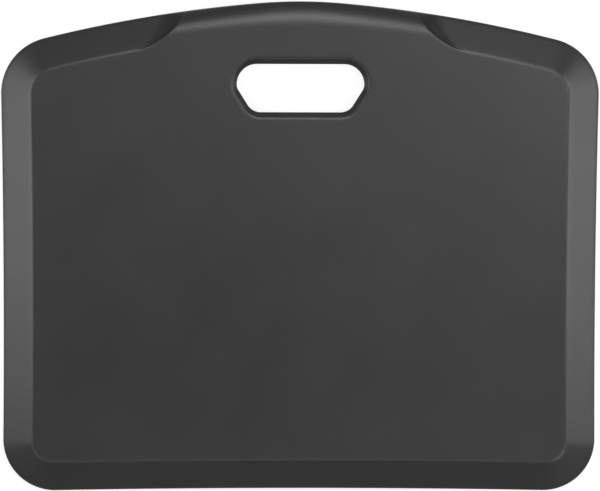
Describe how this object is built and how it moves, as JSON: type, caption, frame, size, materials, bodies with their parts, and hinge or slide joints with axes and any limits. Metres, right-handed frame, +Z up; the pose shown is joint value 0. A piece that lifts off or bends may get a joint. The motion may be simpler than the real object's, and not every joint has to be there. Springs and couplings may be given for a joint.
{
  "type": "anti-fatigue mat",
  "caption": "Cushioned standing mat with sloping edges, round corners and a rolled carry grip beside a hand hole, built as a skin over foam with a lined hole and a non-slip base.",
  "frame": {"origin": "on the floor under the middle of the mat's box", "axes": "+X across the mat to the right, +Y towards the carry grip, +Z up from the floor"},
  "size_m": [0.61, 0.5034, 0.019],
  "materials": {
    "skin": "satin moulded polyurethane skin with a fine grain",
    "foam": "open matt polyurethane foam",
    "liner": "satin moulded polyurethane",
    "base": "matt non-slip rubber with a honeycomb tread"
  },
  "bodies": {
    "root": {"top_skin": "skin", "foam_core": "foam", "hand_hole_liner": "liner", "base_sheet": "base"}
  },
  "joints": []
}
